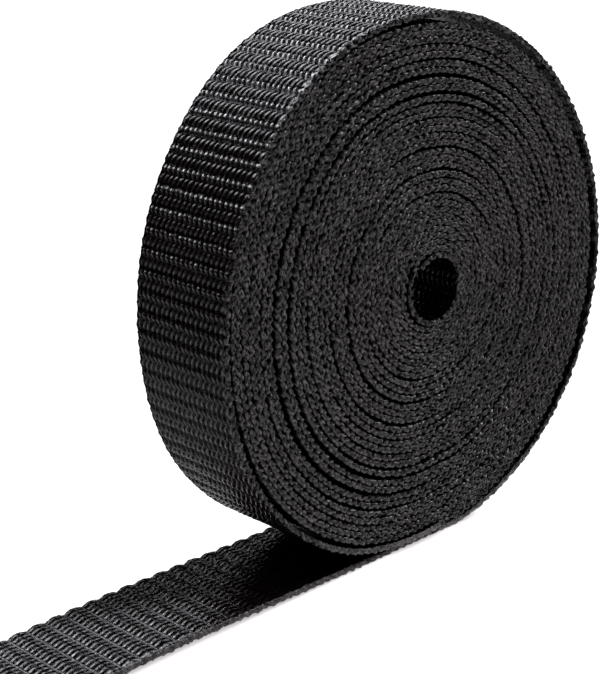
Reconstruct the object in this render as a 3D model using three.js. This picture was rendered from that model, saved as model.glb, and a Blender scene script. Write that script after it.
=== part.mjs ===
import * as THREE from "three";

// Roll of polypropylene webbing standing on its rim, with its outer turn slack and its end run out flat.
// Millimetres. The roll's hole runs along Y, the spiral face that is seen is at -Y, the floor is z = 0
// and the loose end runs out towards -X. The origin is on the floor, below the hole.

const WEB_WIDTH = 25;
const WEB_THICKNESS = 1.2;
const SELVEDGE_BEVEL = 0.3;

const HOLE_HEIGHT = 53.7;
const HOLE_RADIUS = 6.4;
const HOLE_OFF_ROUND = 0.6;
const HOLE_WIDEST_DEG = 150;

const TAIL_LENGTH = 106;
const FLAT_SPOT_END = 6;
const TAIL_DRIFT = 0.9;
const TAIL_SKEW_DEG = -0.4;
const FLOOR_SEAM_DEG = -90;
const TUCKED_END_DEG = 267.5;
const STEP_DEG = 269;
const TURN_STEP_DEG = 5;

// The outer turn, seen from the spiral face: angle round the hole from +X towards +Z,
// radius of the turn's outer surface, and the slack between it and the wound body.
const OUTLINE = [
  { deg: -90, outer: 53.7, slack: 0.3 },
  { deg: -84, outer: 54.0, slack: 0.4 },
  { deg: -75, outer: 53.85, slack: 0.55 },
  { deg: -60, outer: 53.35, slack: 0.8 },
  { deg: -30, outer: 52.4, slack: 1.0 },
  { deg: 0, outer: 51.4, slack: 1.3 },
  { deg: 30, outer: 51.2, slack: 1.2 },
  { deg: 60, outer: 52.6, slack: 1.0 },
  { deg: 90, outer: 55.1, slack: 0.9 },
  { deg: 120, outer: 57.3, slack: 0.6 },
  { deg: 150, outer: 57.2, slack: 0.4 },
  { deg: 180, outer: 57.0, slack: 0.6 },
  { deg: 210, outer: 57.4, slack: 0.9 },
  { deg: 240, outer: 55.7, slack: 0.8 },
  { deg: 255, outer: 53.95, slack: 0.45 },
  { deg: 270, outer: 52.2, slack: 0.3 },
];

// The main dark gaps of the spiral face: share of the way from the hole to the rim, width and depth,
// and how far the turns inside the gap stand towards +Y.
const GAPS = [
  { share: 0.845, width: 0.5, depth: 2.0, shift: 0.25 },
  { share: 0.772, width: 1.0, depth: 3.0, shift: -0.1 },
  { share: 0.69, width: 1.0, depth: 3.0, shift: -0.25 },
  { share: 0.643, width: 0.8, depth: 3.0, shift: 0.1 },
  { share: 0.468, width: 0.8, depth: 2.5, shift: 0.35 },
  { share: 0.386, width: 0.8, depth: 2.5, shift: 0.15 },
  { share: 0.268, width: 0.6, depth: 2.0, shift: 0.4 },
];
const OUTER_GROUP_SHIFT = 0;

const rad = THREE.MathUtils.degToRad;

// Smooth value of one column of the outline at an angle.
function outlineAt(deg, column) {
  const last = OUTLINE.length - 2;
  let i = 0;
  while (i < last && deg > OUTLINE[i + 1].deg) i++;
  const a = OUTLINE[i];
  const b = OUTLINE[i + 1];
  const before = OUTLINE[Math.max(i - 1, 0)];
  const after = OUTLINE[Math.min(i + 2, OUTLINE.length - 1)];
  const span = b.deg - a.deg;
  const t = (deg - a.deg) / span;
  const slopeA = ((b[column] - before[column]) / (b.deg - before.deg)) * span;
  const slopeB = ((after[column] - a[column]) / (after.deg - a.deg)) * span;
  const t2 = t * t;
  const t3 = t2 * t;
  return (
    (2 * t3 - 3 * t2 + 1) * a[column] +
    (t3 - 2 * t2 + t) * slopeA +
    (3 * t2 - 2 * t3) * b[column] +
    (t3 - t2) * slopeB
  );
}

const bodyRadius = (deg) =>
  outlineAt(deg, "outer") - WEB_THICKNESS - outlineAt(deg, "slack");

const holeRadius = (deg) =>
  HOLE_RADIUS + HOLE_OFF_ROUND * Math.cos(rad(deg - HOLE_WIDEST_DEG));

// The body's outline with the spiral taken out, so that it closes on itself.
const spiralDrop = bodyRadius(-90) - bodyRadius(270);
const closedRadius = (deg) =>
  bodyRadius(deg) + (spiralDrop * (deg + 90)) / 360;

const polar = (radius, deg, y) => [
  radius * Math.cos(rad(deg)),
  y,
  HOLE_HEIGHT + radius * Math.sin(rad(deg)),
];

// Rings of matching points, joined in order into one closed solid.
function solidFromRings(name, rings, joinsUp, material) {
  const count = rings[0].length;
  const index = [];
  const pairs = joinsUp ? rings.length : rings.length - 1;
  for (let i = 0; i < pairs; i++) {
    const a = i * count;
    const b = ((i + 1) % rings.length) * count;
    for (let j = 0; j < count; j++) {
      const k = (j + 1) % count;
      index.push(a + j, b + j, b + k, a + j, b + k, a + k);
    }
  }
  if (!joinsUp) {
    const end = (rings.length - 1) * count;
    for (let j = 1; j < count - 1; j++) {
      index.push(0, j, j + 1);
      index.push(end, end + j + 1, end + j);
    }
  }
  const geometry = new THREE.BufferGeometry();
  geometry.setAttribute(
    "position",
    new THREE.Float32BufferAttribute(rings.flat(2), 3),
  );
  geometry.setIndex(index);
  geometry.computeVertexNormals();
  const mesh = new THREE.Mesh(geometry, material);
  mesh.name = name;
  return mesh;
}

// One face of the wound body from rim to hole: radius and y of each corner at an angle.
function facePoints(deg, side) {
  const hole = holeRadius(deg);
  const extent = closedRadius(deg) - hole;
  const faceAt = (shift) => (side * WEB_WIDTH) / 2 + shift;
  const points = [
    [bodyRadius(deg), faceAt(OUTER_GROUP_SHIFT) - side * SELVEDGE_BEVEL],
    [bodyRadius(deg) - SELVEDGE_BEVEL, faceAt(OUTER_GROUP_SHIFT)],
  ];
  let shift = OUTER_GROUP_SHIFT;
  for (const gap of GAPS) {
    const middle = hole + extent * gap.share;
    points.push([middle + gap.width / 2, faceAt(shift)]);
    points.push([middle, faceAt(shift) - side * gap.depth]);
    shift = gap.shift;
    points.push([middle - gap.width / 2, faceAt(shift)]);
  }
  points.push([hole + SELVEDGE_BEVEL, faceAt(shift)]);
  points.push([hole, faceAt(shift) - side * SELVEDGE_BEVEL]);
  return points;
}

function woundBody(material) {
  const rings = [];
  const angles = [];
  for (let deg = FLOOR_SEAM_DEG; deg < 270; deg += TURN_STEP_DEG) angles.push(deg);
  angles.push(STEP_DEG);
  for (const deg of angles) {
    const loop = [...facePoints(deg, -1), ...facePoints(deg, 1).reverse()];
    rings.push(loop.map(([radius, y]) => polar(radius, deg, y)));
  }
  return solidFromRings("wound_body", rings, true, material);
}

// The loose end's cross-section at a place on its outer surface, with the way out of the roll.
function webSection(place, outward, middleY) {
  const half = WEB_WIDTH / 2;
  const corners = [
    [-half, SELVEDGE_BEVEL],
    [-half, WEB_THICKNESS - SELVEDGE_BEVEL],
    [-half + SELVEDGE_BEVEL, WEB_THICKNESS],
    [half - SELVEDGE_BEVEL, WEB_THICKNESS],
    [half, WEB_THICKNESS - SELVEDGE_BEVEL],
    [half, SELVEDGE_BEVEL],
    [half - SELVEDGE_BEVEL, 0],
    [-half + SELVEDGE_BEVEL, 0],
  ];
  return corners.map(([y, depth]) => [
    place.x - outward.x * depth,
    middleY + y,
    place.y - outward.y * depth,
  ]);
}

// How far the web's middle has drifted towards +Y: none at the roll's top, most at the floor.
const turnDrift = (deg) => TAIL_DRIFT * THREE.MathUtils.smoothstep(90 - deg, 0, 180);

function looseEnd(material) {
  const rings = [];
  const down = new THREE.Vector2(0, -1);
  for (const x of [-TAIL_LENGTH, 0, FLAT_SPOT_END]) {
    const skew = Math.tan(rad(TAIL_SKEW_DEG)) * Math.min(x, 0);
    rings.push(webSection(new THREE.Vector2(x, 0), down, TAIL_DRIFT + skew));
  }
  const path = (deg) => {
    const [x, , z] = polar(outlineAt(deg, "outer"), deg, 0);
    return new THREE.Vector2(x, z);
  };
  const angles = [];
  for (let deg = -80; deg < 265; deg += TURN_STEP_DEG) angles.push(deg);
  angles.push(265, TUCKED_END_DEG);
  for (const deg of angles) {
    const along = path(deg + 1).sub(path(deg - 1)).normalize();
    const outward = new THREE.Vector2(along.y, -along.x);
    rings.push(webSection(path(deg), outward, turnDrift(deg)));
  }
  return solidFromRings("loose_end", rings, false, material);
}

const webBlack = new THREE.MeshStandardMaterial({
  color: 0x17171a,
  roughness: 0.75,
  metalness: 0,
});

const roll = new THREE.Group();
roll.name = "webbing_roll";
roll.add(woundBody(webBlack), looseEnd(webBlack));

export default roll;
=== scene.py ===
import math
import bpy
import numpy as np
from mathutils import Matrix, Vector


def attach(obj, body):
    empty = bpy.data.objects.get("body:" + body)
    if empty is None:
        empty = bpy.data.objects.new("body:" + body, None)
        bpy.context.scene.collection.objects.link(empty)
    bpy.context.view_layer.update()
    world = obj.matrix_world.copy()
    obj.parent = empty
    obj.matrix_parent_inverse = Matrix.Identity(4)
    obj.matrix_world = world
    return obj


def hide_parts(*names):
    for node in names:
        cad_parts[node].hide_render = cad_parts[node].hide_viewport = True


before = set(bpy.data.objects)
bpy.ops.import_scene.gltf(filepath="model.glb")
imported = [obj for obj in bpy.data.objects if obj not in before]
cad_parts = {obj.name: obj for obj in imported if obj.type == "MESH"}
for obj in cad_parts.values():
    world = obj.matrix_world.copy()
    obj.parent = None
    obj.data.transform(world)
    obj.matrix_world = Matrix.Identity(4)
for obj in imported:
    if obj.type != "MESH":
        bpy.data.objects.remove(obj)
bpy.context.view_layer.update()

mm = 0.001

# A roll of webbing that stands on its rim, with its hole along Y and its loose end out to -X.
# Lengths are in millimetres until a mesh is made. Angles are in degrees round the hole, from +X
# towards +Z, as seen on the face at -Y.

view = {
    "turn": -42.926,  # degrees round the roll from straight in front of its face
    "height": 19.276,  # degrees over the floor
    "lean": -1.703,  # degrees
    "distance": 353.6,
    "lens": 92.9,
    "sensor": 36.0,
    "aim": (-4.306, 0.0, 50.0),
    "slideRight": -16.105,
    "slideUp": -7.851,
}


# The camera looks straight at the aim, then slides sideways and up without turning.
def makeCamera():
    turn, height, lean = (math.radians(view[k]) for k in ("turn", "height", "lean"))
    back = np.array([
        math.sin(turn) * math.cos(height),
        -math.cos(turn) * math.cos(height),
        math.sin(height),
    ])
    levelRight = np.array([math.cos(turn), math.sin(turn), 0.0])
    levelUp = np.cross(back, levelRight)
    right = math.cos(lean) * levelRight + math.sin(lean) * levelUp
    up = math.cos(lean) * levelUp - math.sin(lean) * levelRight
    place = np.array(view["aim"]) + back * view["distance"]
    place += right * view["slideRight"] + up * view["slideUp"]
    data = bpy.data.cameras.new("camera")
    data.lens = view["lens"]
    data.sensor_width = view["sensor"]
    data.clip_start = 0.01  # metres
    data.clip_end = 50.0
    camera = bpy.data.objects.new("camera", data)
    bpy.context.collection.objects.link(camera)
    axes = np.column_stack([right, up, back, place * mm])
    camera.matrix_world = Matrix([list(row) for row in axes] + [[0, 0, 0, 1]])
    bpy.context.scene.camera = camera


makeCamera()
print("camera ready")


# From 0 to 1 without a corner.
def smoothStep(t):
    t = np.clip(t, 0, 1)
    return t * t * (3 - 2 * t)


# A mesh from arrays of points and faces. Each value in notes is one number for every point.
def meshFrom(name, points, faces, notes):
    mesh = bpy.data.meshes.new(name)
    corners = np.concatenate([f.ravel() for f in faces]).astype(np.int32)
    sizes = np.concatenate([np.full(len(f), f.shape[1]) for f in faces])
    starts = np.concatenate([[0], np.cumsum(sizes)[:-1]]).astype(np.int32)
    mesh.vertices.add(len(points))
    mesh.vertices.foreach_set("co", (np.asarray(points) * mm).astype(np.float32).ravel())
    mesh.loops.add(len(corners))
    mesh.loops.foreach_set("vertex_index", corners)
    mesh.polygons.add(len(starts))
    mesh.polygons.foreach_set("loop_start", starts)
    mesh.polygons.foreach_set("use_smooth", np.ones(len(starts), bool))
    for key, values in notes.items():
        layer = mesh.attributes.new(key, "FLOAT", "POINT")
        layer.data.foreach_set("value", np.asarray(values, np.float32).ravel())
    mesh.update(calc_edges=True)
    mesh.validate()
    piece = bpy.data.objects.new(name, mesh)
    bpy.context.collection.objects.link(piece)
    print(f"{name}: {int((sizes - 2).sum())} triangles")
    return piece


# Quads between rings of count points, one ring after the other.
def ringFaces(rings, count, start, flip):
    i = start + np.arange(rings - 1)[:, None] * count
    j = np.arange(count)[None, :]
    k = (j + 1) % count
    quads = np.stack([i + j, i + k, i + count + k, i + count + j], -1).reshape(-1, 4)
    return quads[:, ::-1] if flip else quads


# Triangles that close a ring of count points at an end of the web.
def capFaces(start, count, flip):
    j = np.arange(1, count - 1)
    fan = np.stack([np.full(len(j), start), start + j, start + j + 1], -1)
    return fan[:, ::-1] if flip else fan


# Triangles between two closed loops of points. The places run from 0 to 4 round the web.
def zipLoops(a, placeA, b, placeB):
    a, b = np.append(a, a[0]), np.append(b, b[0])
    placeA, placeB = np.append(placeA, placeA[0] + 4), np.append(placeB, placeB[0] + 4)
    i = j = 0
    faces = []
    while i < len(a) - 1 or j < len(b) - 1:
        stepA = j == len(b) - 1 or (i < len(a) - 1 and placeA[i + 1] <= placeB[j + 1])
        if stepA:
            faces.append((a[i], a[i + 1], b[j]))
            i += 1
        else:
            faces.append((a[i], b[j + 1], b[j]))
            j += 1
    return np.array(faces)


web = {
    "halfWidth": 12.5,
    "thickness": 1.2,
    "ribs": 18,  # warp ribs side by side
    "ribZone": 24.8,  # width that they take up
    "ribEnd": 0.7,  # the ribs run out over this width beside a selvedge
    "ribUneven": 0.10,  # how much the floats on the ribs differ in height
    "ribSlip": 0.05,  # how far they lie off their places
    "relief": 0.55,  # height of a rib over the bottom of the slits
    "tailRelief": 0.34,  # the same where the web lies slack
    "ribProud": 0.06,  # how far a full rib stands over the web's thickness
    "longFloat": (0.25, 0.745),  # part of the repeat with the long floats
    "tailRepeat": 4.23,  # lengthwise repeat of the weave where the end lies slack
    "turnRepeat": 4.0075,  # the same where the web is wound tight
    "edgeHeight": 0.55,  # height beside a selvedge, as a share of the relief
    "edgeLean": 0.25,  # share of the ribs' lean that is left there
    "narrowest": 11.8,  # from the middle to the selvedge between two bulges
    "knitEdge": 1.05,  # how far the knitted selvedge at -Y stands out of that
    "edgeRound": 0.35,  # how far the rounding of a selvedge stands out
    "strandSwing": 0.16,  # how far the two strands of a selvedge stand out in turn
    "knitSwing": 0.36,  # the same on the knitted selvedge
    "edgeUneven": 0.25,  # how much that differs, as a share of the swing
    "edgeBulge": 1.08,  # thickness of a selvedge, as a share of the web's
    "seed": 11,
}

# Painted light and shade on the yarn, from 0, full painted shade, to 1, full painted light.
paintedLight = {
    "turnTop": 4,  # power that keeps it to the top of a rib on the outer turn
    "tailTop": 8,  # the same on the loose end and in the hole
    "ribEnd": 0.08,
    "farEdge": (0.10, 0.70),  # low strand, and what a raised one has more
    "nearEdge": (0.05, 0.60),
    "plain": 0.5,  # side without ribs
    # Painted floor light on the low part of the outer turn.
    "lowLevel": 0.36,  # the low part of the outer turn is nearer to this
    "lowShare": 0.4,
    "lowFrom": 60.0,  # height where that starts, and how far down it takes
    "lowSpan": 20.0,
    "shadeAt": -65.0,  # where the roll's shade starts on the loose end
    "shadeSpan": 26.0,
    "shadeSlant": 1.6,  # how much sooner it starts for each millimetre towards +Y
    "shadeDepth": 0.88,
    "shadeTop": 20.0,  # height of the highest thing that it reaches
}

# Painted glints of loose fibres on the selvedges, as small light spots, and lighter spots close to
# the floor.
paintedGlint = {
    "amount": 0.70,
    "bare": 0.78,  # share of the points without any
    "floorAmount": 0.85,  # on the knitted selvedge close to the floor
    "floorFrom": 12.0,  # height where that starts, and how far down it takes
    "floorSpan": 8.0,
    "rollFrom": -25.0,  # it doubles under the roll from here
    "rollSpan": 20.0,
}

random = np.random.default_rng(web["seed"])


# Random values for the spots, with most of them at 0.
def paintedGlintSpots(shape):
    overBare = (random.random(shape) - paintedGlint["bare"]) / (1 - paintedGlint["bare"])
    return paintedGlint["amount"] * smoothStep(overBare)


# One lengthwise repeat of each side of the weave, from the middle of a short float: place in the
# repeat, sideways lean of the ribs (mm), height on a rib and in the slit beside it (both as shares
# of the relief), how far the selvedge stands out (mm), and how much painted light the yarn gets on
# the rib and in the slit, the rest being painted shade.
turnRows = np.array([
    (0.0000, 0.02, 1.08, 0.10, 0.59, 1.00, 0.0),
    (0.0875, -0.12, 0.98, 0.10, 0.59, 1.00, 0.0),
    (0.1500, -0.24, 0.38, 0.10, 0.58, 0.10, 0.0),
    (0.2000, -0.32, 0.46, 0.38, 0.58, 0.20, 0.1),
    (0.2450, -0.36, 0.28, 0.02, 0.60, 0.10, 0.0),
    (0.3375, -0.21, 0.74, 0.02, 0.70, 0.45, 0.0),
    (0.4600, -0.01, 0.88, 0.06, 0.76, 0.60, 0.0),
    (0.5900, 0.21, 0.79, 0.02, 0.70, 0.50, 0.0),
    (0.7300, 0.44, 0.22, -0.04, 0.60, 0.00, 0.0),
    (0.8625, 0.26, 0.56, 0.04, 0.59, 0.05, 0.0),
    (0.9200, 0.14, 0.94, 0.08, 0.59, 0.90, 0.0),
])
tailRows = np.array([
    (0.0000, 0.06, 0.80, 0.10, 0.45, 0.55, 0.0),
    (0.0950, -0.10, 0.46, 0.10, 0.12, 0.10, 0.0),
    (0.1650, -0.18, 0.88, 0.86, 0.00, 0.85, 0.6),
    (0.2050, -0.22, 0.50, 0.10, 0.06, 0.10, 0.0),
    (0.2700, -0.24, 0.86, 0.10, 0.20, 1.00, 0.0),
    (0.4200, -0.02, 0.96, 0.10, 0.42, 1.00, 0.0),
    (0.5700, 0.24, 1.02, 0.10, 0.66, 1.00, 0.0),
    (0.6800, 0.38, 0.84, 0.06, 0.80, 0.80, 0.0),
    (0.7900, 0.36, 0.30, 0.00, 0.80, 0.00, 0.0),
    (0.8900, 0.22, 0.66, 0.06, 0.66, 0.40, 0.0),
])
hiddenRows = turnRows[[0, 2, 4, 5, 7, 8]]  # enough where nobody looks

# A ring of points round the web: the side with ribs, the selvedge at +Y, the plain side, the
# selvedge at -Y.
ribParts = np.array([0.0, 0.2, 0.5, 0.8])  # places of the points across one rib
ribCrown = 1 - np.abs(2 * ribParts - 1) ** 2.0
ribPoints = web["ribs"] * len(ribParts) + 1
edgeAngles = np.radians([68, 24, -24, -68])
edgePoints = len(edgeAngles)
plainPoints = 7
ringSize = ribPoints + 2 * edgePoints + plainPoints


# Values of a path at some lengths along it, each as a column.
def pathAt(path, lengths, *keys):
    return [np.interp(lengths, path["length"], path[key])[:, None] for key in keys]


# Rows of the weave between two lengths of a path: their lengths, their places in repeats and
# their lines of the table.
def rowsBetween(path, first, last, table):
    low, high = np.interp([first, last], path["length"], path["repeat"])
    starts = np.arange(int(low) - 1, int(high) + 2)
    repeats = (starts[:, None] + table[:, 0]).ravel()
    lines = np.tile(table, (len(starts), 1))
    kept = (repeats >= low) & (repeats < high)
    repeats = repeats[kept]
    return np.interp(repeats, path["repeat"], path["length"]), repeats, lines[kept]


# One more row at a place of its own.
def rowAt(path, where, line):
    return np.array([where]), np.interp([where], path["length"], path["repeat"]), line[None, :]


# Stretches of rows, one after the other.
def joinRows(*parts):
    return [np.concatenate(v) for v in zip(*parts)]


# Points round one selvedge: how far they are from the web's middle line and its middle layer.
def selvedgePoints(edgeAt, strand, angles, swing):
    jitter = web["edgeUneven"] * swing * random.standard_normal((2, *strand.shape))
    reach = web["edgeRound"] * np.cos(angles) + swing * (strand - 0.4) + jitter[0]
    return edgeAt + reach, web["thickness"] / 2 * web["edgeBulge"] * np.sin(angles) + jitter[1]


# Rings of points round the web: side is 1 where its ribs face away from the hole, -1 where they
# face it.
def webRings(path, lengths, repeats, lines, side):
    x, z, outX, outZ, middle = pathAt(path, lengths, "x", "z", "outX", "outZ", "middle")
    lean, onRib, inSlit, edge, ribLit, slitLit = lines[:, 1:].T[:, :, None]
    half = web["thickness"] / 2
    rows = len(lengths)
    flat = np.ones((rows, 1))

    # The ribs. Each float has its own height and lies a little off its place.
    column = np.arange(ribPoints)
    rib, part = column // len(ribParts), column % len(ribParts)
    pitch = web["ribZone"] / web["ribs"]
    level = (rib + ribParts[part]) * pitch - web["ribZone"] / 2
    inside = smoothStep((web["ribZone"] / 2 - np.abs(level)) / web["ribEnd"])
    place = repeats % 1
    isLong = (place > web["longFloat"][0]) * (place < web["longFloat"][1])
    number = (np.floor(repeats) * 2 + isLong).astype(int)
    number -= number.min()
    floats = (number.max() + 1, web["ribs"] + 1)
    floatHeight = 1 + web["ribUneven"] * random.standard_normal(floats)
    floatSlip = web["ribSlip"] * random.standard_normal(floats)
    crown = ribCrown[part]
    height = inSlit + (onRib * floatHeight[number][:, rib] - inSlit) * crown
    height = height * inside + (1 - inside) * web["edgeHeight"]
    leanShare = web["edgeLean"] + (1 - web["edgeLean"]) * inside
    bent = level + (lean + floatSlip[number][:, rib] * crown) * leanShare

    # The outermost millimetre gives way to the bulges of the selvedges.
    steady = web["narrowest"] - 1.0
    farAt = web["narrowest"] + edge - web["edgeRound"]
    nearAt = np.full_like(edge, web["narrowest"] + web["knitEdge"] - web["edgeRound"])
    squeeze = (np.where(bent > 0, farAt, nearAt) - steady) / (web["ribZone"] / 2 - steady)
    past = np.maximum(np.abs(bent) - steady, 0)
    ribY = np.sign(bent) * (np.minimum(np.abs(bent), steady) + past * squeeze)
    relief = web["relief"] if side > 0 else web["tailRelief"]
    ribN = half + web["ribProud"] - relief * (1 - height)

    # The selvedges, whose two strands stand out in turn twice in a repeat.
    turning = 0.5 + 0.5 * np.cos(4 * math.pi * repeats[:, None])
    strand = np.where(edgeAngles > 0, turning, 1 - turning)
    farY, farN = selvedgePoints(farAt, strand, edgeAngles, web["strandSwing"])
    nearY, nearN = selvedgePoints(nearAt, strand[:, ::-1], edgeAngles[::-1], web["knitSwing"])

    # The plain side, thinner towards its borders.
    across = np.linspace(0, 1, plainPoints)
    plainY = farAt * (1 - across) - nearAt * across
    border = np.abs(2 * across - 1) ** 8 * flat
    plainN = 0.12 * border - half

    y = middle + np.concatenate([ribY, farY, plainY, -nearY], 1)
    n = side * np.concatenate([ribN, farN, plainN, nearN], 1) - half
    points = np.stack([x + outX * n, y, np.maximum(z + outZ * n, 0.02)], -1)

    # What the yarn's material reads at each point.
    # Painted highlight on the tops of the ribs, and painted shade in the slits and beside the
    # selvedges.
    lit = slitLit + (ribLit - slitLit) * crown ** paintedLight["turnTop" if side > 0 else "tailTop"]
    lit = lit * inside + (1 - inside) * paintedLight["ribEnd"]
    if side > 0:
        # Painted floor light that evens out the painted light and shade on the low part of the
        # outer turn.
        low = smoothStep((paintedLight["lowFrom"] - z) / paintedLight["lowSpan"])
        lit += (paintedLight["lowLevel"] - lit) * paintedLight["lowShare"] * low
    else:
        # Painted shadow of the roll on the loose end.
        slanted = x - paintedLight["shadeAt"] + paintedLight["shadeSlant"] * ribY
        shaded = smoothStep(slanted / paintedLight["shadeSpan"] + 0.5) * (z < paintedLight["shadeTop"])
        lit *= 1 - paintedLight["shadeDepth"] * shaded
    # Painted highlight on the raised strand of each selvedge.
    farLit = paintedLight["farEdge"][0] + paintedLight["farEdge"][1] * strand
    nearLit = paintedLight["nearEdge"][0] + paintedLight["nearEdge"][1] * strand[:, ::-1]
    plainLit = np.full(plainY.shape, paintedLight["plain"])
    edgeAround = web["halfWidth"] + 0.4 * np.arange(edgePoints)  # mm round the selvedge
    fullEdge = np.ones((rows, edgePoints))
    # Lighter spots on the knitted selvedge close to the floor, more under the roll, and painted
    # glints of loose fibres on it.
    byFloor = smoothStep((paintedGlint["floorFrom"] - z) / paintedGlint["floorSpan"])
    byFloor = byFloor * (0.5 + 0.5 * smoothStep((x - paintedGlint["rollFrom"]) / paintedGlint["rollSpan"]))
    floorSpots = paintedGlint["floorAmount"] * byFloor * (0.1 + 0.9 * random.random(fullEdge.shape))
    paintedGlints = np.zeros_like(y)
    paintedGlints[:, -edgePoints:] = np.maximum(floorSpots, paintedGlintSpots(fullEdge.shape))
    notes = {
        "along": lengths[:, None] * np.ones_like(y),
        "around": np.concatenate(
            [level * flat, edgeAround * flat, plainY, -edgeAround[::-1] * flat], 1),
        "selvedge": np.concatenate([(1 - inside) * flat, fullEdge, border, fullEdge], 1),
        "paintedShade": np.clip(1 - np.concatenate([lit, farLit, plainLit, nearLit], 1), 0, 1),
        "paintedGlint": paintedGlints,
    }
    return points, notes


roll = {
    "holeHeight": 53.7,
    "holeRadius": 6.4,
    "holeOffRound": 0.6,
    "holeWidest": 150.0,  # degrees
    "woundTurns": 31.625,  # turns under the outer one, up to the cut end in the hole
    "endTurns": 0.475,  # how far the cut end stands off the hole's radius, in turns
    "turnGap": 0.07,
    "faceWobble": 0.12,
}

# The outer turn: angle, radius of its outer surface, slack between it and the turn below.
outline = np.array([
    (-90, 53.7, 0.3), (-84, 54.0, 0.5), (-75, 53.85, 0.75), (-60, 53.35, 1.0),
    (-30, 52.4, 1.15), (0, 51.4, 1.3), (30, 51.2, 1.2), (60, 52.6, 1.1),
    (90, 55.1, 1.0), (120, 57.7, 0.55), (150, 57.4, 0.6), (180, 56.9, 0.85),
    (210, 57.6, 1.3), (240, 55.9, 0.9), (255, 53.95, 0.45), (270, 52.2, 0.3),
])


# Smooth value of one column of the outline at any angle.
def outlineAt(deg, column):
    angles, values = outline[:, 0], outline[:, column]
    last = len(angles) - 1
    i = np.clip(np.searchsorted(angles, deg) - 1, 0, last - 1)
    before, after = np.maximum(i - 1, 0), np.minimum(i + 2, last)
    span = angles[i + 1] - angles[i]
    t = (deg - angles[i]) / span
    slopeA = (values[i + 1] - values[before]) / (angles[i + 1] - angles[before]) * span
    slopeB = (values[after] - values[i]) / (angles[after] - angles[i]) * span
    t2, t3 = t * t, t * t * t
    return ((2 * t3 - 3 * t2 + 1) * values[i] + (t3 - 2 * t2 + t) * slopeA
            + (3 * t2 - 2 * t3) * values[i + 1] + (t3 - t2) * slopeB)


# Length along a line of points, from its first one.
def lengthAlong(x, z):
    return np.concatenate([[0], np.cumsum(np.hypot(np.diff(x), np.diff(z)))])


# Values along a line of points with their corners rounded.
def rounded(values, width=13):
    kernel = np.hanning(width) / np.hanning(width).sum()
    return np.convolve(np.pad(values, width // 2, mode="edge"), kernel, mode="valid")


loose = {
    "length": 106.0,  # from the cut end to the place below the hole
    "drift": 0.9,  # how far it has wandered sideways
    "driftFrom": -30.0,  # degrees on the turn where that starts, and how many it takes
    "driftSpan": 60.0,
    "skew": -0.4,  # degrees
    "arch": 0.8,  # lift of its middle off the floor
    "archEnd": 98.0,  # how far from the cut end it lies down again
    "firstRepeat": 0.58,  # where the weave starts at the cut end, in repeats
    "turnSlip": -0.41,  # how far the weave is ahead on the roll, in repeats
    "slipLength": 40.0,  # length over which it gets there
    "hiddenTo": 12,  # degrees on the turn up to where the weave is hidden, and simpler
}


# The outer surface of the web from its cut end along the floor and once round the roll.
def looseEndPath():
    tailX = np.linspace(-loose["length"], 0, 425)[:-1]
    shareUp = np.clip((tailX + loose["length"]) / loose["archEnd"], 0, 1)
    rise = np.sin(np.pi * shareUp ** 0.75) ** 2
    deg = np.linspace(-90, 270, 1801)
    radius = outlineAt(deg, 1)
    x = np.concatenate([tailX, radius * np.cos(np.radians(deg))])
    z = np.concatenate([
        loose["arch"] * rise, roll["holeHeight"] + radius * np.sin(np.radians(deg)),
    ])
    tailMiddle = loose["drift"] + math.tan(math.radians(loose["skew"])) * tailX
    drifted = np.clip((loose["driftFrom"] - deg) / loose["driftSpan"], 0, 1) ** 2
    length = lengthAlong(x, z)
    alongX, alongZ = rounded(np.gradient(x, length)), rounded(np.gradient(z, length))
    size = np.hypot(alongX, alongZ)
    tail = length[len(tailX)]
    repeat = np.where(
        length < tail, length / web["tailRepeat"],
        tail / web["tailRepeat"] + (length - tail) / web["turnRepeat"],
    )
    repeat += loose["firstRepeat"]
    repeat += loose["turnSlip"] * smoothStep((length - tail) / loose["slipLength"])
    return {
        "x": x, "z": z, "outX": alongZ / size, "outZ": -alongX / size,
        "middle": np.concatenate([tailMiddle, loose["drift"] * drifted]),
        "length": length, "repeat": repeat, "tail": tail,
        "deg": np.concatenate([np.full(len(tailX), -90.0), deg]),
    }


# The loose end shows the side that faces the hole, and the turn shows the other one, so the ribs
# change sides under the roll.
def makeLooseEnd():
    path = looseEndPath()
    tail, total = path["tail"], path["length"][-1]
    upRight = float(path["length"][np.searchsorted(path["deg"], loose["hiddenTo"])])
    tailPart = joinRows(
        rowAt(path, 0, tailRows[5]),
        rowsBetween(path, 0.2, tail - 1, tailRows),
    )
    turnPart = joinRows(
        rowsBetween(path, tail - 1, upRight, hiddenRows),
        rowsBetween(path, upRight, total - 0.2, turnRows),
        rowAt(path, total, turnRows[6]),
    )
    pointsA, notesA = webRings(path, *tailPart, -1)
    pointsB, notesB = webRings(path, *turnPart, 1)
    ringsA, ringsB = len(pointsA), len(pointsB)
    base = ringsA * ringSize
    edgePlaces = (np.arange(edgePoints) + 1) / (edgePoints + 1)
    section = np.concatenate([
        np.linspace(0, 1, ribPoints), 1 + edgePlaces,
        2 + np.linspace(0, 1, plainPoints), 3 + edgePlaces,
    ])
    mirrored = np.where(section <= 3, 3 - section, 7 - section)
    order = np.argsort(mirrored, kind="stable")
    loopA = base - ringSize + np.arange(ringSize)
    loopB = base + np.arange(ringSize)
    faces = [
        ringFaces(ringsA, ringSize, 0, True),
        ringFaces(ringsB, ringSize, base, False),
        zipLoops(loopA, section, loopB[order], mirrored[order]),
        capFaces(0, ringSize, False),
        capFaces(base + (ringsB - 1) * ringSize, ringSize, False),
    ]
    points = np.concatenate([pointsA.reshape(-1, 3), pointsB.reshape(-1, 3)])
    notes = {k: np.concatenate([notesA[k].ravel(), notesB[k].ravel()]) for k in notesA}
    return meshFrom("loose_end_web", points, faces, notes), float(total)


looseEnd, looseLength = makeLooseEnd()

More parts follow.
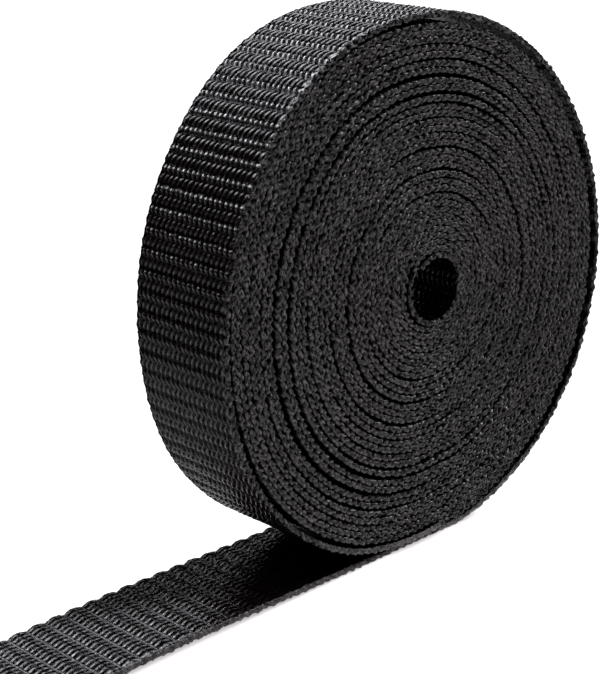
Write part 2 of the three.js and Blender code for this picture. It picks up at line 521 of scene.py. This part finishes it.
# Where the winding went slack: the turn above the gap (1 is the outer turn), the angle where the
# gap opens, its width as a share of the way from hole to rim, the part of a turn that it takes to
# open, and where the turns below it stand sideways (mm).
slackGaps = [
    {"turn": 4, "opens": -90, "share": 0.004, "taper": 0.30, "shift": 0.05},
    {"turn": 6, "opens": -90, "share": 0.008, "taper": 0.25, "shift": 0.25},
    {"turn": 8, "opens": -90, "share": 0.014, "taper": 0.15, "shift": -0.10},
    {"turn": 10, "opens": -60, "share": 0.014, "taper": 0.15, "shift": -0.25},
    {"turn": 11, "opens": 0, "share": 0.009, "taper": 0.20, "shift": 0.10},
    {"turn": 13, "opens": -90, "share": 0.004, "taper": 0.25, "shift": 0.00},
    {"turn": 15, "opens": -90, "share": 0.004, "taper": 0.25, "shift": 0.15},
    {"turn": 17, "opens": -90, "share": 0.010, "taper": 0.15, "shift": 0.35},
    {"turn": 20, "opens": -90, "share": 0.010, "taper": 0.15, "shift": 0.15},
    {"turn": 21, "opens": -90, "share": 0.004, "taper": 0.25, "shift": 0.25},
    {"turn": 23, "opens": -90, "share": 0.007, "taper": 0.20, "shift": 0.40},
]


# How much of the way from the hole to the rim is left at the outer surface of the web after some
# turns of winding, how far it stands sideways there, and the share that one turn takes.
def windingShare(turns):
    totalGap = sum(g["share"] for g in slackGaps)
    perTurn = (1 - totalGap) / (roll["woundTurns"] + roll["endTurns"])
    share = 1 - perTurn * turns
    shift = np.zeros_like(turns)
    before = 0.0
    for gap in slackGaps:
        at = gap["turn"] - 1 + (gap["opens"] + 90) / 360
        step = smoothStep((turns - at) / gap["taper"] + 0.5)
        share = share - gap["share"] * step
        shift = shift + (gap["shift"] - before) * step
        before = gap["shift"]
    return share, shift, perTurn


# The outer surface of the web from the second turn at the rim to the cut end in the hole.
def woundPath():
    turns = np.linspace(0, roll["woundTurns"], int(roll["woundTurns"] * 720))
    deg = (turns % 1) * 360 - 90
    outX, outZ = np.cos(np.radians(deg)), np.sin(np.radians(deg))
    offRound = roll["holeOffRound"] * np.cos(np.radians(deg - roll["holeWidest"]))
    hole = roll["holeRadius"] + offRound
    body = outlineAt(deg, 1) - web["thickness"] - outlineAt(deg, 2)
    ends = np.array([-90.0, 270.0])
    drop = outlineAt(ends, 1) - outlineAt(ends, 2)
    extent = body + (drop[0] - drop[1]) * (deg + 90) / 360 - hole
    share, shift, perTurn = windingShare(turns)
    x, z = (hole + extent * share) * outX, (hole + extent * share) * outZ
    length = lengthAlong(x, z)
    # Slow waves that move the turns sideways and don't come again from turn to turn.
    waves = sum(
        math.cos(k) * np.sin(turns * 2 * math.pi * (0.7 + 0.43 * k) + 1.7 * k * k)
        for k in range(1, 7)
    )
    return {
        "turns": turns, "length": length, "repeat": length / web["turnRepeat"],
        "x": x, "z": z + roll["holeHeight"], "outX": outX, "outZ": outZ,
        "middle": shift + waves * roll["faceWobble"] / 2 * smoothStep(turns),
        "thick": perTurn * extent - roll["turnGap"],
        "below": np.maximum((share - windingShare(turns + 1)[0] - perTurn) * extent, 0),
    }


# The selvedge of a wound turn is two strands side by side, each a row of lobes. Depths are from
# the web's full width inwards, and shares are of half a turn's thickness.
lobes = {
    "length": 2.0,
    "rows": 5,  # rings of points in a lobe
    "dip": 0.55,  # how far a strand dips between two lobes
    "uneven": 0.12,  # how much the lobes differ
    "rough": 0.03,  # how much each point does
    "rootDepth": 1.5,
    "flankDepth": 0.16,
    "crestDepth": 0.02,
    "seamDepth": 0.26,  # between the two strands
    "gapDepth": 3.0,  # where the turns close up again below a slack gap
    "rootShare": 0.93,
    "flankShare": 0.71,
    "crestShare": 0.34,
    "flankSwell": 0.23,  # how much further out each is where the lobe stands out
    "crestSwell": 0.10,
    "roundness": 0.7,  # power that makes the lobes blunt
    "slant": 0.45,  # how far the strands lean along the web
    "flankShade": 1.25,  # painted shade on the yarn between two lobes
    "crestShade": 1.05,
    "seamShade": 0.75,
}


# Both faces of some turns, with the hidden middle of the web left plain.
def windTurns(name, path, first, last):
    low, high = np.interp([first, last], path["turns"], path["length"])
    rows = int((high - low) / lobes["length"] * lobes["rows"])
    lengths = np.linspace(low, high, rows)
    x, z, outX, outZ = pathAt(path, lengths, "x", "z", "outX", "outZ")
    thick, middle, below = pathAt(path, lengths, "thick", "middle", "below")
    half = thick / 2
    reach = half + roll["turnGap"] / 2
    flat = np.ones((rows, 1))
    points, paintedShades = [], []
    for face in (-1, 1):
        depth, outward, paintedShade = [], [], []
        for side in (1, -1):
            place = lengths / lobes["length"] + (0.5 if side < 0 else 0.0)
            lobe = (place - place[0]).astype(int)
            own = 1 + lobes["uneven"] * random.standard_normal((3, lobe.max() + 1))
            stand = (np.sin(math.pi * (place % 1)) ** lobes["roundness"] * own[0][lobe])[:, None]
            wide, out = own[1][lobe][:, None], own[2][lobe][:, None] - 1
            jitter = lobes["rough"] * random.standard_normal((4, rows, 1))
            dip = lobes["dip"] * (1 - stand) - out
            flankOut = lobes["flankSwell"] * stand
            depth += [
                lobes["rootDepth"] * flat,
                lobes["flankDepth"] + dip + jitter[0],
                lobes["crestDepth"] + dip + jitter[1],
            ]
            outward += [
                side * lobes["rootShare"] * reach,
                side * reach * (lobes["flankShare"] + flankOut * wide + jitter[2]),
                side * reach * (lobes["crestShare"] + lobes["crestSwell"] * stand + jitter[3]),
            ]
            # Painted shade: full at the roots and in the gap, less on a lobe that stands out, some
            # in the seam.
            paintedShade += [flat, lobes["flankShade"] - stand, lobes["crestShade"] - stand]
        seamJitter = 2 * lobes["rough"] * random.standard_normal((rows, 1))
        depth += [lobes["seamDepth"] + seamJitter, lobes["gapDepth"] * flat]
        outward += [0 * flat, -lobes["rootShare"] * reach - below]
        paintedShade += [lobes["seamShade"] * flat, flat]
        # From the outer root over both strands to the inner root, and on into the gap below.
        order = [0, 1, 2, 6, 5, 4, 3, 7]
        depth, outward, paintedShade = (np.concatenate(v, 1)[:, order] for v in (depth, outward, paintedShade))
        y, n = face * (web["halfWidth"] - depth), outward - half
        slip = lobes["slant"] * np.abs(outward) / reach * (depth < lobes["rootDepth"])
        px, pz = x + outX * n - outZ * slip, z + outZ * n + outX * slip
        points.append(np.stack([px, middle + y, pz], -1)[:, ::-face])
        paintedShades.append(paintedShade[:, ::-face])
    points = np.concatenate(points, 1)
    count = points.shape[1]
    around = np.linspace(-0.75, 1.0, count // 2)
    onFace = np.array([0.1, 1, 1, 1, 1, 1, 0.1, 0.1])  # less where a point lies inside
    onFace = np.concatenate([onFace, onFace[::-1]])
    notes = {
        "along": lengths[:, None] * np.ones((1, count)),
        "around": np.concatenate([around, around[::-1]]) * flat,
        "selvedge": onFace * flat,
        "paintedShade": np.clip(np.concatenate(paintedShades, 1), 0, 1),
        "paintedGlint": paintedGlintSpots((rows, count)) * (onFace > 0.5),
    }
    faces = [
        ringFaces(rows, count, 0, False),
        capFaces(0, count, True),
        capFaces((rows - 1) * count, count, False),
    ]
    return meshFrom(name, points.reshape(-1, 3), faces, notes)


turnPath = woundPath()
lastTurn = roll["woundTurns"] - 1
outerTurns = windTurns("outer_wound_turns", turnPath, 0, 7.0)
middleTurns = windTurns("middle_wound_turns", turnPath, 7.0, 15.5)
innerTurns = windTurns("inner_wound_turns", turnPath, 15.5, lastTurn)


# The last turn, whose ribs show in the hole.
def makeHoleTurn():
    first, last = np.interp([lastTurn, roll["woundTurns"]], turnPath["turns"], turnPath["length"])
    rows = rowsBetween(turnPath, first, last, turnRows)
    points, notes = webRings(turnPath, *rows, -1)
    rings = len(points)
    faces = [
        ringFaces(rings, ringSize, 0, True),
        capFaces(0, ringSize, False),
        capFaces((rings - 1) * ringSize, ringSize, True),
    ]
    notes = {k: v.ravel() for k, v in notes.items()}
    return meshFrom("hole_turn", points.reshape(-1, 3), faces, notes)


holeTurn = makeHoleTurn()
print("web laid")

yarn = {
    "colour": (0.0022, 0.0012, 0.0011),
    "shade": (0.0008, 0.0004, 0.0004),
    "paintedGlint": (0.12, 0.116, 0.118),  # painted glints of loose fibres on the selvedges
    "roughness": 0.26,
    "shine": 0.42,
    "strandHeight": 0.05,
    "flatStrands": (0.7, 4.5),  # for each millimetre along a rib and across it
    "edgeStrands": (3.2, 1.1),  # for each millimetre along the selvedge and round it
    "mottleScale": 1.6,
    "mottleDetail": 3.0,
    "mottleFlat": 0.7,  # how much it shifts the tone on the ribs
    "mottleEdge": 2.0,  # how much more on the selvedges
}


# Black yarn of fine fibres. The notes of each point say where it is on the web, how much painted
# shade it gets and its painted glints.
def yarnMaterial():
    material = bpy.data.materials.new("black_yarn")
    material.use_nodes = True
    nodes, links = material.node_tree.nodes, material.node_tree.links
    shader = nodes["Principled BSDF"]

    def feed(socket, value):
        if isinstance(value, (int, float)):
            socket.default_value = value
        else:
            links.new(value, socket)

    def note(name):
        node = nodes.new("ShaderNodeAttribute")
        node.attribute_name = name
        return node.outputs["Fac"]

    def maths(operation, a, b):
        node = nodes.new("ShaderNodeMath")
        node.operation = operation
        feed(node.inputs[0], a)
        feed(node.inputs[1], b)
        return node.outputs[0]

    def blend(factor, a, b):
        node = nodes.new("ShaderNodeMix")
        feed(node.inputs["Factor"], factor)
        feed(node.inputs["A"], a)
        feed(node.inputs["B"], b)
        return node.outputs[0]

    def place(alongScale, aroundScale):
        join = nodes.new("ShaderNodeCombineXYZ")
        links.new(maths("MULTIPLY", note("along"), alongScale), join.inputs[0])
        links.new(maths("MULTIPLY", note("around"), aroundScale), join.inputs[1])
        return join.outputs[0]

    def noise(where, detail):
        texture = nodes.new("ShaderNodeTexNoise")
        texture.inputs["Scale"].default_value = 1.0
        texture.inputs["Detail"].default_value = detail
        links.new(where, texture.inputs["Vector"])
        return texture.outputs["Fac"]

    def strands(where):
        texture = nodes.new("ShaderNodeTexVoronoi")
        texture.voronoi_dimensions = "2D"
        texture.inputs["Scale"].default_value = 1.0
        links.new(where, texture.inputs["Vector"])
        return maths("SUBTRACT", 1.0, texture.outputs["Distance"])

    # Fibres along the ribs, and across the web on its selvedges.
    flatStrands = strands(place(*yarn["flatStrands"]))
    edgeStrands = strands(place(*yarn["edgeStrands"]))
    bump = nodes.new("ShaderNodeBump")
    bump.inputs["Strength"].default_value = 1.0
    bump.inputs["Distance"].default_value = yarn["strandHeight"] * mm
    links.new(blend(note("selvedge"), flatStrands, edgeStrands), bump.inputs["Height"])
    links.new(bump.outputs[0], shader.inputs["Normal"])

    # Painted shade: where the notes ask for it, the yarn is painted darker and its reflection
    # turned down, with a mottled border.
    mottle = noise(place(yarn["mottleScale"], yarn["mottleScale"]), yarn["mottleDetail"])
    mottle = maths("SUBTRACT", mottle, 0.5)
    onEdge = maths("MULTIPLY", note("selvedge"), yarn["mottleEdge"])
    patchy = maths("MULTIPLY", mottle, maths("ADD", yarn["mottleFlat"], onEdge))
    shadeAmount = nodes.new("ShaderNodeMapRange")
    links.new(maths("ADD", note("paintedShade"), patchy), shadeAmount.inputs["Value"])
    tone = nodes.new("ShaderNodeMix")
    tone.data_type = "RGBA"
    tone.inputs["A"].default_value = (*yarn["colour"], 1)
    tone.inputs["B"].default_value = (*yarn["shade"], 1)
    links.new(shadeAmount.outputs["Result"], tone.inputs["Factor"])
    glintMix = nodes.new("ShaderNodeMix")
    glintMix.data_type = "RGBA"
    glintMix.inputs["B"].default_value = (*yarn["paintedGlint"], 1)
    links.new(note("paintedGlint"), glintMix.inputs["Factor"])
    links.new(tone.outputs["Result"], glintMix.inputs["A"])
    links.new(glintMix.outputs["Result"], shader.inputs["Base Color"])
    shine = blend(shadeAmount.outputs["Result"], yarn["shine"], 0.0)
    links.new(shine, shader.inputs["Specular IOR Level"])
    shader.inputs["Roughness"].default_value = yarn["roughness"]
    return material


blackYarn = yarnMaterial()
for piece in (looseEnd, outerTurns, middleTurns, innerTurns, holeTurn):
    piece.data.materials.append(blackYarn)
    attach(piece, "root")
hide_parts("loose_end")
for piece in (outerTurns, middleTurns, innerTurns, holeTurn):
    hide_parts("wound_body")
print("finishes on")

paleFloor = {
    "halfSize": 6.0,  # metres
    "colour": (0.03, 0.03, 0.03),
    "roughness": 0.9,
    "glowColour": (1.0, 0.96, 0.965),
    "glow": 1.35,  # brighter than white, so that the ground is as white as a studio sweep
    "contactGlow": 0.3,  # what is left of it where something touches the floor
    "contactShadow": 2.0,  # how far that shadow reaches
}


def makeFloor():
    half = paleFloor["halfSize"]
    corners = [(-half, -half, 0), (half, -half, 0), (half, half, 0), (-half, half, 0)]
    mesh = bpy.data.meshes.new("floor")
    mesh.from_pydata(corners, [], [(0, 1, 2, 3)])
    floor = bpy.data.objects.new("floor", mesh)
    bpy.context.collection.objects.link(floor)
    material = bpy.data.materials.new("pale_floor")
    material.use_nodes = True
    nodes, links = material.node_tree.nodes, material.node_tree.links
    shader = nodes["Principled BSDF"]
    shader.inputs["Base Color"].default_value = (*paleFloor["colour"], 1)
    shader.inputs["Roughness"].default_value = paleFloor["roughness"]
    shader.inputs["Specular IOR Level"].default_value = 0.0
    shader.inputs["Emission Color"].default_value = (*paleFloor["glowColour"], 1)
    contact = nodes.new("ShaderNodeAmbientOcclusion")
    contact.inputs["Distance"].default_value = paleFloor["contactShadow"] * mm
    shadow = nodes.new("ShaderNodeMapRange")
    shadow.inputs["To Min"].default_value = paleFloor["contactGlow"]
    shadow.inputs["To Max"].default_value = paleFloor["glow"]
    links.new(contact.outputs["AO"], shadow.inputs["Value"])
    links.new(shadow.outputs["Result"], shader.inputs["Emission Strength"])
    mesh.materials.append(material)


sky = {
    "low": 0.05,  # strength near the floor
    "top": 0.20,
    "from": 0.05,  # share of the way up where it starts to brighten, and where it ends
    "to": 0.75,
}


def makeSky():
    world = bpy.data.worlds.new("studio")
    world.use_nodes = True
    nodes, links = world.node_tree.nodes, world.node_tree.links
    background = nodes["Background"]
    where = nodes.new("ShaderNodeTexCoord")
    split = nodes.new("ShaderNodeSeparateXYZ")
    ramp = nodes.new("ShaderNodeMapRange")
    ramp.interpolation_type = "SMOOTHSTEP"
    ramp.inputs["From Min"].default_value = sky["from"]
    ramp.inputs["From Max"].default_value = sky["to"]
    ramp.inputs["To Min"].default_value = sky["low"]
    ramp.inputs["To Max"].default_value = sky["top"]
    links.new(where.outputs["Generated"], split.inputs[0])
    links.new(split.outputs["Z"], ramp.inputs["Value"])
    links.new(ramp.outputs["Result"], background.inputs["Strength"])
    background.inputs["Color"].default_value = (1, 1, 1, 1)
    bpy.context.scene.world = world


# Soft boxes round the roll, with places and sizes in metres.
softBoxTint = (0.95, 0.94, 1.0)
softBoxes = [
    {"name": "back_softbox", "place": (-0.09, 1.00, 0.96), "size": (1.34, 0.56), "glow": 19.5},
    {"name": "side_softbox", "place": (0.86, 1.00, 0.96), "size": (0.5, 0.56), "glow": 7.5},
    {"name": "low_softbox", "place": (0.90, 1.12, 0.50), "size": (0.26, 0.14), "glow": 9.0},
    {"name": "top_softbox", "place": (-0.40, 0.05, 1.15), "size": (1.4, 0.6), "glow": 4.5},
    {"name": "front_softbox", "place": (-0.10, -0.80, 0.72), "size": (0.22, 0.22), "glow": 9.0},
    {"name": "right_softbox", "place": (0.80, -0.36, 0.85), "size": (0.5, 0.5), "glow": 15.0},
]


# One soft box that faces the middle of the roll.
def hangSoftBox(box):
    data = bpy.data.lights.new(box["name"], "AREA")
    data.shape = "RECTANGLE"
    data.size, data.size_y = box["size"]
    data.energy = box["glow"] * math.pi * box["size"][0] * box["size"][1]
    data.color = softBoxTint
    light = bpy.data.objects.new(box["name"], data)
    bpy.context.collection.objects.link(light)
    light.location = box["place"]
    aim = Vector((0, 0, 0.05)) - Vector(box["place"])
    light.rotation_euler = aim.to_track_quat("-Z", "Y").to_euler()


makeFloor()
makeSky()
for box in softBoxes:
    hangSoftBox(box)
bpy.context.scene.view_settings.view_transform = "Standard"
print("studio ready")
